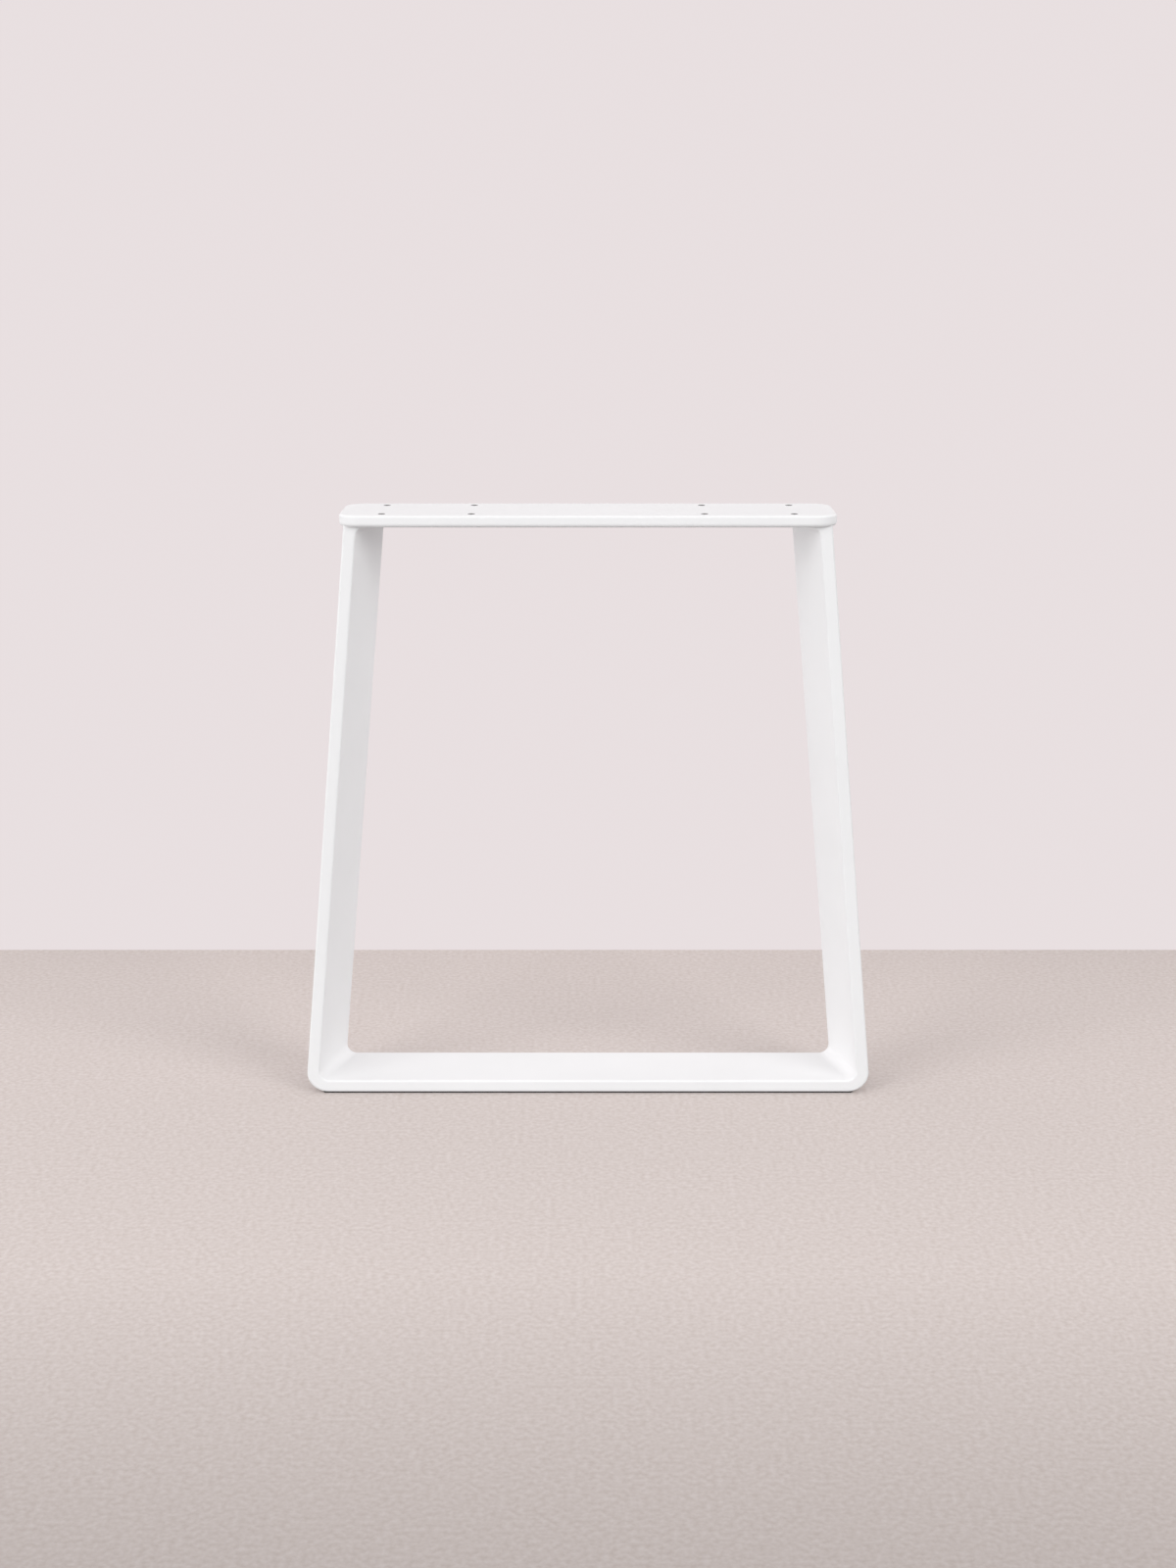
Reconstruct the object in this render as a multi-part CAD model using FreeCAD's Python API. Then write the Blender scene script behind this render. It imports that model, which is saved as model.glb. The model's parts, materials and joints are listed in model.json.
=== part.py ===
import FreeCAD, Part
import math
import os

from FreeCAD import Vector

# Trestle table leg: one flat bar bent to a U, welded under a drilled top plate, on a foot strip.
# Millimetres, +Z up. The origin lies on the floor, under the middle of the leg.
# X runs along the leg's width, and Y from its front face to its back face.

# Overall form
overall_height = 720.0
base_width = 702.0  # the front outline at its lower corners, before they are bent round
toe_in = 26.0  # how much nearer to the middle each leg stands at the back face than at the front

# Bent bar
bar_depth = 100.0
bar_thickness = 15.0
bend_inner_radius = 12.0
bend_outer_radius = 24.5
bar_edge_radius = 2.5

# Top plate
plate_length = 584.0
plate_thickness = 14.0
plate_end_overhang = 5.0  # past the legs' outer faces, at the front
plate_side_overhang = 8.0  # past the bar's front and back faces
plate_corner_radius = 24.0
plate_upper_edge_radius = 2.5
plate_lower_edge_radius = 5.0

# Screw holes, a group of four near each end of the plate
hole_diameter = 8.0
hole_edge_break = 0.4
hole_spacing_x = 105.0
hole_from_plate_side = 19.0
screw_head_diameter = 13.0
screw_head_clearance = 0.2

# Welds between the legs' inner faces and the plate's underside
weld_radius = 10.5  # of the bead's hollow face
weld_toe = 0.4  # thickness of the bead where it runs out
weld_end_clearance = 3.0  # from the bead's back end to the back screw heads

# Foot strip under the floor bar
strip_thickness = 2.0
strip_inset = 0.4  # from the floor bar's rounded front and back edges
strip_end_reach = 7.0  # past the flat of the underside, under the start of each bend
strip_corner_radius = 3.0

same_place = 1e-4  # coordinates closer than this are the same

# Worked out from the sizes above
plate_underside = overall_height - plate_thickness
plate_depth = bar_depth + 2 * plate_side_overhang
floor_bar_top = strip_thickness + bar_thickness
bar_front = -bar_depth / 2
bar_back = bar_depth / 2
leg_top_width = plate_length - 2 * plate_end_overhang
lean_slope = (base_width - leg_top_width) / 2 / (plate_underside - strip_thickness)
toe_slope = toe_in / bar_depth
slant_factor = math.sqrt(1 + lean_slope**2 + toe_slope**2)  # a leg's size along X over its size square to it
leg_width = bar_thickness * slant_factor
weld_size = weld_radius + weld_toe
weld_reach = weld_size * (slant_factor - lean_slope)  # along the plate


def leg_outer_x(y, z):
    """From the middle to a leg's outer face, at a depth and a height."""
    return base_width / 2 - toe_slope * (y - bar_front) - lean_slope * (z - strip_thickness)


def leg_inner_x(y, z):
    """From the middle to a leg's inner face, at a depth and a height."""
    return leg_outer_x(y, z) - leg_width


# The outer holes stand close to the legs: a screw head clears the leg at the back row and the weld
# at the front row. The weld stops short of the back row.
hole_row_y = plate_depth / 2 - hole_from_plate_side
head_room = screw_head_diameter / 2 + screw_head_clearance
hole_outer_x = min(
    leg_inner_x(hole_row_y, plate_underside) - head_room,
    leg_inner_x(-hole_row_y, plate_underside) - weld_reach - head_room,
)
weld_back = hole_row_y - screw_head_diameter / 2 - weld_end_clearance


def prism(corners, run):
    """Solid from a flat outline of corner points, pushed along a vector."""
    return Part.Face(Part.makePolygon(corners + corners[:1])).extrude(run)


def slanted_prism(corners, back):
    """Solid from (x, z) corners in the front plane, pushed along the right leg's slant to a depth."""
    run = back - bar_front
    return prism([Vector(x, bar_front, z) for x, z in corners], Vector(-toe_slope * run, run, 0))


def mirrored(shape):
    """The same piece on the other side of the middle."""
    return shape.mirror(Vector(0, 0, 0), Vector(1, 0, 0))


def edges_at(shape, axis, value):
    """Edges whose ends share one coordinate, along the axis X, Y or Z."""
    return [
        edge
        for edge in shape.Edges
        if all(abs(getattr(end, axis) - value) < same_place for end in edge.Vertexes)
    ]


def upright_edges(shape):
    """Edges that climb, such as the corners of a flat plate."""
    return [edge for edge in shape.Edges if edge.BoundBox.ZLength > same_place]


def make_bent_bar(plate):
    """The U, with its lower corners bent round and its long edges rounded.

    Each half is the front outline pushed to the back along its leg's slant. The halves meet in the
    floor bar. The legs close up under the plate's rounded rim at its corners.
    """
    leg_top = plate_underside + plate_lower_edge_radius
    half_outline = [
        (0, floor_bar_top),
        (leg_inner_x(bar_front, floor_bar_top), floor_bar_top),
        (leg_inner_x(bar_front, leg_top), leg_top),
        (leg_outer_x(bar_front, leg_top), leg_top),
        (leg_outer_x(bar_front, strip_thickness), strip_thickness),
        (0, strip_thickness),
    ]
    right_half = slanted_prism(half_outline, bar_back)
    bar = right_half.fuse(mirrored(right_half)).removeSplitter().Solids[0]
    for height, radius in ((floor_bar_top, bend_inner_radius), (strip_thickness, bend_outer_radius)):
        bends = [edge for edge in edges_at(bar, "Z", height) if edge.BoundBox.YLength > same_place]
        bar = bar.makeFillet(radius, bends)
    long_edges = [
        edge
        for edge in edges_at(bar, "Y", bar_front) + edges_at(bar, "Y", bar_back)
        if edge.BoundBox.ZMin < leg_top - same_place
    ]
    return bar.makeFillet(bar_edge_radius, long_edges).cut(plate).Solids[0]


def make_top_plate():
    """Flat plate with round corners, rounded rims and eight screw holes."""
    corner = Vector(-plate_length / 2, -plate_depth / 2, plate_underside)
    plate = Part.makeBox(plate_length, plate_depth, plate_thickness, corner)
    plate = plate.makeFillet(plate_corner_radius, upright_edges(plate))
    plate = plate.makeFillet(plate_lower_edge_radius, edges_at(plate, "Z", plate_underside))
    plate = plate.makeFillet(plate_upper_edge_radius, edges_at(plate, "Z", overall_height))
    for side in (-1, 1):
        for x in (hole_outer_x, hole_outer_x - hole_spacing_x):
            for y in (-hole_row_y, hole_row_y):
                foot = Vector(side * x, y, plate_underside)
                plate = plate.cut(Part.makeCylinder(hole_diameter / 2, plate_thickness, foot))
    rims = edges_at(plate, "Z", plate_underside) + edges_at(plate, "Z", overall_height)
    return plate.makeChamfer(hole_edge_break, [edge for edge in rims if edge.isClosed()])


def make_right_weld(bar, plate):
    """Concave bead, flush with the bar's front face and rounded there as the bar's own edge is.

    It starts as a block that reaches into the leg and the plate. A round along the leg's slant hollows it,
    and it is then cut back to the leg and the plate.
    """
    hollow_z = plate_underside - weld_size
    hollow_x = leg_inner_x(bar_front, hollow_z) - weld_size * slant_factor
    block_top = plate_underside + plate_thickness / 2
    in_leg_x = leg_inner_x(bar_front, plate_underside) + leg_width / 2
    block = slanted_prism(
        [(hollow_x, hollow_z), (hollow_x, block_top), (in_leg_x, block_top), (in_leg_x, hollow_z)],
        weld_back,
    )
    along_leg = Vector(-toe_slope, 1, 0)
    hollow_start = Vector(hollow_x, bar_front, hollow_z) - along_leg * weld_radius
    hollow = Part.makeCylinder(weld_radius, 2 * bar_depth, hollow_start, along_leg)
    bead = block.cut(hollow)
    end_edges = edges_at(bead, "Y", bar_front) + edges_at(bead, "Y", weld_back)
    hollow_ends = [edge for edge in end_edges if edge.Curve.TypeId != "Part::GeomLine"]
    return bead.makeFillet(bar_edge_radius, hollow_ends).cut([bar, plate])


def make_foot_strip():
    """Thin strip on the flat of the floor bar's underside, between its rounded edges."""
    bend_angle = math.acos(lean_slope / slant_factor)  # between the leg's outer face and the underside
    bend_tangent = bend_outer_radius / math.tan(bend_angle / 2) * math.sqrt(1 + toe_slope**2)
    front = bar_front + bar_edge_radius + strip_inset
    back = bar_back - bar_edge_radius - strip_inset
    front_half = leg_outer_x(front, strip_thickness) - bend_tangent + strip_end_reach
    back_half = leg_outer_x(back, strip_thickness) - bend_tangent + strip_end_reach
    corners = [(-front_half, front), (front_half, front), (back_half, back), (-back_half, back)]
    strip = prism([Vector(x, y, 0) for x, y in corners], Vector(0, 0, strip_thickness))
    return strip.makeFillet(strip_corner_radius, upright_edges(strip))


top_plate = make_top_plate()
bent_bar = make_bent_bar(top_plate)
right_weld = make_right_weld(bent_bar, top_plate)
pieces = {
    "bent_bar": bent_bar,
    "top_plate": top_plate,
    "left_weld": mirrored(right_weld),
    "right_weld": right_weld,
    "foot_strip": make_foot_strip(),
}

os.makedirs("parts", exist_ok=True)
for name, shape in pieces.items():
    shape.exportStep(f"parts/{name}.step")
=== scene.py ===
# Looks of a trestle table leg: its finishes, a plain stage, soft light and the camera.
# Metres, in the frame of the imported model. Colours are linear.

import json
import math

import bpy
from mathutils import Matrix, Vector

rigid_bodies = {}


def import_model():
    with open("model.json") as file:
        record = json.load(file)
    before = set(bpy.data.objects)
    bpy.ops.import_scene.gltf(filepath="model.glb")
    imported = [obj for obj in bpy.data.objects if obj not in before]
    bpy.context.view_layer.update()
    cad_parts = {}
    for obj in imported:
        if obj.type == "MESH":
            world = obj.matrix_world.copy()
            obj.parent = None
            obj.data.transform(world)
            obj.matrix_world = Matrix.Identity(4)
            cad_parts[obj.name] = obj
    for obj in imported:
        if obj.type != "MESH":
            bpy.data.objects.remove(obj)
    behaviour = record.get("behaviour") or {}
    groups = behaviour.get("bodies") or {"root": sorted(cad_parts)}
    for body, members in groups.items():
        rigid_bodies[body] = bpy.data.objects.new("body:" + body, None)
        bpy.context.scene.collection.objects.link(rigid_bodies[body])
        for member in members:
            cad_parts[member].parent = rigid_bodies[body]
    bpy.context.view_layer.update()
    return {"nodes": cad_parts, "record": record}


# Blender's starting objects go first
for leftover in list(bpy.data.objects):
    bpy.data.objects.remove(leftover)

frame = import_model()

# Powder coat. Here and below, a scale counts features in a metre, and a pair holds two limits.
coat_colour = (0.885, 0.885, 0.888, 1)
coat_shade = (0.865, 0.865, 0.868, 1)
coat_shade_scale = 9
coat_roughness = (0.52, 0.62)
coat_roughness_scale = 55
coat_specular = 0.2
peel_scale = 420
peel_height = 0.00006
grain_scale = 2200
grain_height = 0.000035

# Painted shade in the screw holes: dark metal that stands in for the shade inside them
hole_shade_colour = (0.115, 0.11, 0.105, 1)
hole_edge_reach = 0.00035  # past the hole's wall, onto its broken edge

# Rubber
rubber_colour = (0.018, 0.018, 0.018, 1)
rubber_shade = (0.03, 0.03, 0.03, 1)
rubber_shade_scale = 120
rubber_roughness = (0.68, 0.85)
rubber_roughness_scale = 300
tooth_scale = 1500
tooth_height = 0.00008

# Stage
stage_half_width = 4.0
stage_front = -6.0
stage_back = 4.0
stage_roughness_scale = 8

# Backdrop. A bounce colour is for the light that a surface throws on the leg, and isn't seen itself.
wall_y = 0.518
wall_height = 3.4
wall_colour = (0.81, 0.742, 0.75, 1)
wall_bounce = (0.92, 0.885, 0.893, 1)
wall_roughness = (0.8, 0.9)

# Floor
floor_colour = (0.707, 0.6435, 0.6185, 1)
floor_speck = (0.601, 0.5265, 0.4925, 1)
floor_speck_scale = 170
floor_roughness = (0.6, 0.7)
floor_specular = 0.2
# Painted shade: the floor darkens towards the viewer
painted_shade_depths = (-1.1, -0.55)  # along Y: the floor darkens from the second to the first
painted_shade_levels = (0.71, 1.0)
# Painted light: the floor behind the backdrop is lifted, as the backdrop throws no light that way
painted_light_behind = (1.17, 1.143, 1.145, 1)  # times the floor's colour, behind the backdrop
floor_bounce = (0.15, 0.142, 0.14, 1)
floor_bounce_near = (0.4, 0.378, 0.37, 1)
near_reach = (0.3, 1.0)  # from under the leg's middle: the near bounce fades out between these

# Light
light_colour = (1.0, 1.0, 1.006)
world_strength = 0.6
lamp_width = 4.0
lamp_aim = (0, 0, 0.35)
lamps = {  # place, height of the lit face, and power in watts
    "left": ((-6.5, -2.2, 0.6), 1.6, 104.0),
    "upper left": ((-4.6, -4.6, 4.0), 4.0, 155.0),
    "upper right": ((4.6, -4.6, 4.0), 4.0, 190.0),
    "front": ((0, -6.8, 1.2), 4.0, 60.0),
}

# Camera, at the photo's viewing angle
camera_place = (0, -2.76865, 1.08422)
camera_pitch = 14.1955  # degrees below level
camera_lens = 53.64  # millimetres, as the sensor is
camera_sensor = 36

noise_range = (0.3, 0.7)  # where most values of a noise texture lie
white = (1, 1, 1, 1)
millimetre = 0.001


def feed(tree, socket, value):
    """Gives an input its value, or links it to another node's output."""
    if isinstance(value, bpy.types.NodeSocket):
        tree.links.new(value, socket)
    else:
        socket.default_value = value


def feed_all(tree, node, inputs):
    """Feeds several inputs of a node, by name or number."""
    for name, value in inputs.items():
        feed(tree, node.inputs[name], value)


def add(tree, kind, inputs=None, **settings):
    """A new shader node with its settings and its inputs."""
    node = tree.nodes.new(kind)
    for name, value in settings.items():
        setattr(node, name, value)
    feed_all(tree, node, inputs or {})
    return node


def calc(tree, operation, *values):
    """The output of a math node."""
    return add(tree, "ShaderNodeMath", dict(enumerate(values)), operation=operation).outputs[0]


def mix(tree, factor, first, second):
    """A colour between two."""
    node = add(tree, "ShaderNodeMix", data_type="RGBA")
    sockets = {socket.identifier: socket for socket in (*node.inputs, *node.outputs)}
    feed(tree, sockets["Factor_Float"], factor)
    feed(tree, sockets["A_Color"], first)
    feed(tree, sockets["B_Color"], second)
    return sockets["Result_Color"]


def times(tree, first, second):
    """A colour times another colour or a value."""
    return add(tree, "ShaderNodeVectorMath", {0: first, 1: second}, operation="MULTIPLY").outputs[0]


def mix_shaders(tree, factor, first, second):
    """A shader between two."""
    return add(tree, "ShaderNodeMixShader", {0: factor, 1: first, 2: second}).outputs[0]


def ramp(tree, value, given, wanted):
    """A value carried from one pair of limits to another, and held at the ends."""
    inputs = {
        "Value": value,
        "From Min": given[0],
        "From Max": given[1],
        "To Min": wanted[0],
        "To Max": wanted[1],
    }
    return add(tree, "ShaderNodeMapRange", inputs).outputs["Result"]


def noise(tree, place, scale, detail=2.0):
    """A noise value from 0 to 1."""
    inputs = {"Vector": place, "Scale": scale, "Detail": detail}
    return add(tree, "ShaderNodeTexNoise", inputs).outputs["Fac"]


def varied(tree, place, scale, limits=(0, 1), detail=2.0):
    """A value that varies over a surface between two limits."""
    return ramp(tree, noise(tree, place, scale, detail), noise_range, limits)


def bump(tree, height, distance, under=None):
    """A normal raised by a height from 0 to 1, over another normal if one is given."""
    inputs = {"Height": height, "Strength": 1.0, "Distance": distance}
    if under is not None:
        inputs["Normal"] = under
    return add(tree, "ShaderNodeBump", inputs).outputs["Normal"]


def axes_of(tree, place):
    """The X, Y and Z of a place."""
    return add(tree, "ShaderNodeSeparateXYZ", {"Vector": place}).outputs


def seen(tree):
    """1 where a surface is looked at or mirrored, and 0 where it only throws light on the leg."""
    ray = add(tree, "ShaderNodeLightPath").outputs
    mirrored = calc(tree, "MAXIMUM", ray["Is Glossy Ray"], ray["Is Transmission Ray"])
    return calc(tree, "MAXIMUM", ray["Is Camera Ray"], mirrored)


def new_finish(name):
    """A new material, with its tree, its shader and the place on the object."""
    material = bpy.data.materials.new(name)
    material.use_nodes = True
    tree = material.node_tree
    place = add(tree, "ShaderNodeTexCoord").outputs["Object"]
    return material, tree, tree.nodes["Principled BSDF"], place


def screw_hole_mask(tree, place):
    """1 inside the screw holes and on their broken edges, and 0 elsewhere.

    The two groups of four are folded onto one hole.
    """
    pattern = next(mount for mount in frame["record"]["mounts"] if mount["kind"] == "bolt_pattern")
    dims = pattern["dims"]
    group_x = abs(pattern["pos_m"][0])
    half_x = dims["spacing_x_mm"] / 2 * millimetre
    half_y = dims["spacing_y_mm"] / 2 * millimetre
    reach = dims["hole_r_mm"] * millimetre + hole_edge_reach
    axes = axes_of(tree, place)
    from_group = calc(tree, "SUBTRACT", calc(tree, "ABSOLUTE", axes["X"]), group_x)
    along = calc(tree, "SUBTRACT", calc(tree, "ABSOLUTE", from_group), half_x)
    across = calc(tree, "SUBTRACT", calc(tree, "ABSOLUTE", axes["Y"]), half_y)
    along_square = calc(tree, "MULTIPLY", along, along)
    across_square = calc(tree, "MULTIPLY", across, across)
    distance = calc(tree, "SQRT", calc(tree, "ADD", along_square, across_square))
    return calc(tree, "LESS_THAN", distance, reach)


def powder_coat(name, drilled=False):
    """White powder coat with little sheen: fine grain over a faint orange peel.

    A drilled piece gets dark metal in its holes, as painted shade.
    """
    material, tree, shader, place = new_finish(name)
    shade = varied(tree, place, coat_shade_scale, detail=3)
    colour = mix(tree, shade, coat_colour, coat_shade)
    if drilled:
        # painted shade: dark metal inside the screw holes
        mask = screw_hole_mask(tree, place)
        colour = mix(tree, mask, colour, hole_shade_colour)
        feed(tree, shader.inputs["Metallic"], mask)
    peel = bump(tree, noise(tree, place, peel_scale), peel_height)
    look = {
        "Base Color": colour,
        "Roughness": varied(tree, place, coat_roughness_scale, coat_roughness, detail=3),
        "Specular IOR Level": coat_specular,
        "Normal": bump(tree, noise(tree, place, grain_scale, detail=1), grain_height, peel),
    }
    feed_all(tree, shader, look)
    return material


def rubber(name):
    """Matt black rubber with a fine tooth."""
    material, tree, shader, place = new_finish(name)
    shade = varied(tree, place, rubber_shade_scale, detail=3)
    look = {
        "Base Color": mix(tree, shade, rubber_colour, rubber_shade),
        "Roughness": varied(tree, place, rubber_roughness_scale, rubber_roughness),
        "Normal": bump(tree, noise(tree, place, tooth_scale), tooth_height),
    }
    feed_all(tree, shader, look)
    return material


def floor_finish(name):
    """A pale, finely speckled floor, with painted shade that darkens it a little towards the viewer.

    It throws less light than it shows, and least far from the leg. Behind the backdrop, which throws
    no light that way, painted light lifts its colour to look the same.
    """
    material, tree, shader, place = new_finish(name)
    speck = varied(tree, place, floor_speck_scale, detail=5)
    speckled = mix(tree, speck, floor_colour, floor_speck)
    depth = axes_of(tree, place)["Y"]
    # painted shade: darker towards the viewer
    shaded = times(tree, speckled, ramp(tree, depth, painted_shade_depths, painted_shade_levels))
    # painted light on the floor behind the backdrop
    behind = calc(tree, "GREATER_THAN", depth, wall_y)
    pale = times(tree, shaded, mix(tree, behind, white, painted_light_behind))
    reach = add(tree, "ShaderNodeVectorMath", {0: place}, operation="LENGTH").outputs["Value"]
    near = ramp(tree, reach, near_reach, (1, 0))
    bounce = mix(tree, near, floor_bounce, floor_bounce_near)
    look = {
        "Base Color": mix(tree, seen(tree), bounce, pale),
        "Roughness": varied(tree, place, stage_roughness_scale, floor_roughness),
        "Specular IOR Level": floor_specular,
    }
    feed_all(tree, shader, look)
    return material


def wall_finish(name):
    """A plain backdrop: pale from the front, and clear from behind, where it would hide the leg."""
    material, tree, shader, place = new_finish(name)
    look = {
        "Base Color": wall_bounce,
        "Roughness": varied(tree, place, stage_roughness_scale, wall_roughness),
    }
    feed_all(tree, shader, look)
    pale = add(tree, "ShaderNodeEmission", {"Color": wall_colour, "Strength": 1.0}).outputs[0]
    front = mix_shaders(tree, seen(tree), shader.outputs[0], pale)
    clear = add(tree, "ShaderNodeBsdfTransparent").outputs[0]
    behind = add(tree, "ShaderNodeNewGeometry").outputs["Backfacing"]
    surface = tree.nodes["Material Output"].inputs["Surface"]
    feed(tree, surface, mix_shaders(tree, behind, front, clear))
    return material


def stage_plane(name, corners, material):
    """A flat stage surface through its corners."""
    mesh = bpy.data.meshes.new(name)
    mesh.from_pydata(corners, [], [range(len(corners))])
    mesh.materials.append(material)
    plane = bpy.data.objects.new(name, mesh)
    bpy.context.scene.collection.objects.link(plane)


def soft_lamp(name, place, height, power):
    """A wide lamp turned towards the leg."""
    lamp = bpy.data.lights.new(name, "AREA")
    lamp.shape = "RECTANGLE"
    lamp.size = lamp_width
    lamp.size_y = height
    lamp.energy = power
    lamp.color = light_colour
    light = bpy.data.objects.new(name, lamp)
    light.location = place
    towards_leg = Vector(lamp_aim) - Vector(place)
    light.rotation_euler = towards_leg.to_track_quat("-Z", "Y").to_euler()
    bpy.context.scene.collection.objects.link(light)


# The object's finishes
coat = powder_coat("white powder coat")
finishes = {
    "bent_bar": coat,
    "top_plate": powder_coat("white powder coat, drilled", drilled=True),
    "left_weld": coat,
    "right_weld": coat,
    "foot_strip": rubber("black rubber"),
}
for name, material in finishes.items():
    frame["nodes"][name].data.materials[0] = material

# The stage
left, right = -stage_half_width, stage_half_width
stage_plane(
    "floor",
    [(left, stage_front, 0), (right, stage_front, 0), (right, stage_back, 0), (left, stage_back, 0)],
    floor_finish("pale floor"),
)
stage_plane(
    "backdrop",
    [(left, wall_y, 0), (right, wall_y, 0), (right, wall_y, wall_height), (left, wall_y, wall_height)],
    wall_finish("pale backdrop"),
)

# The light: a soft surround, which looks like the backdrop, and wide lamps
scene = bpy.context.scene
world = bpy.data.worlds.new("soft surround")
world.use_nodes = True
sky = world.node_tree
sky_light = (*(world_strength * part for part in light_colour), 1)
feed(sky, sky.nodes["Background"].inputs["Color"], mix(sky, seen(sky), sky_light, wall_colour))
scene.world = world
for name, (place, height, power) in lamps.items():
    soft_lamp(name, place, height, power)

# The camera
camera_data = bpy.data.cameras.new("camera")
camera_data.lens = camera_lens
camera_data.sensor_width = camera_sensor
camera = bpy.data.objects.new("camera", camera_data)
camera.location = camera_place
camera.rotation_euler = (math.radians(90 - camera_pitch), 0, 0)
scene.collection.objects.link(camera)
scene.camera = camera
scene.view_settings.view_transform = "Standard"
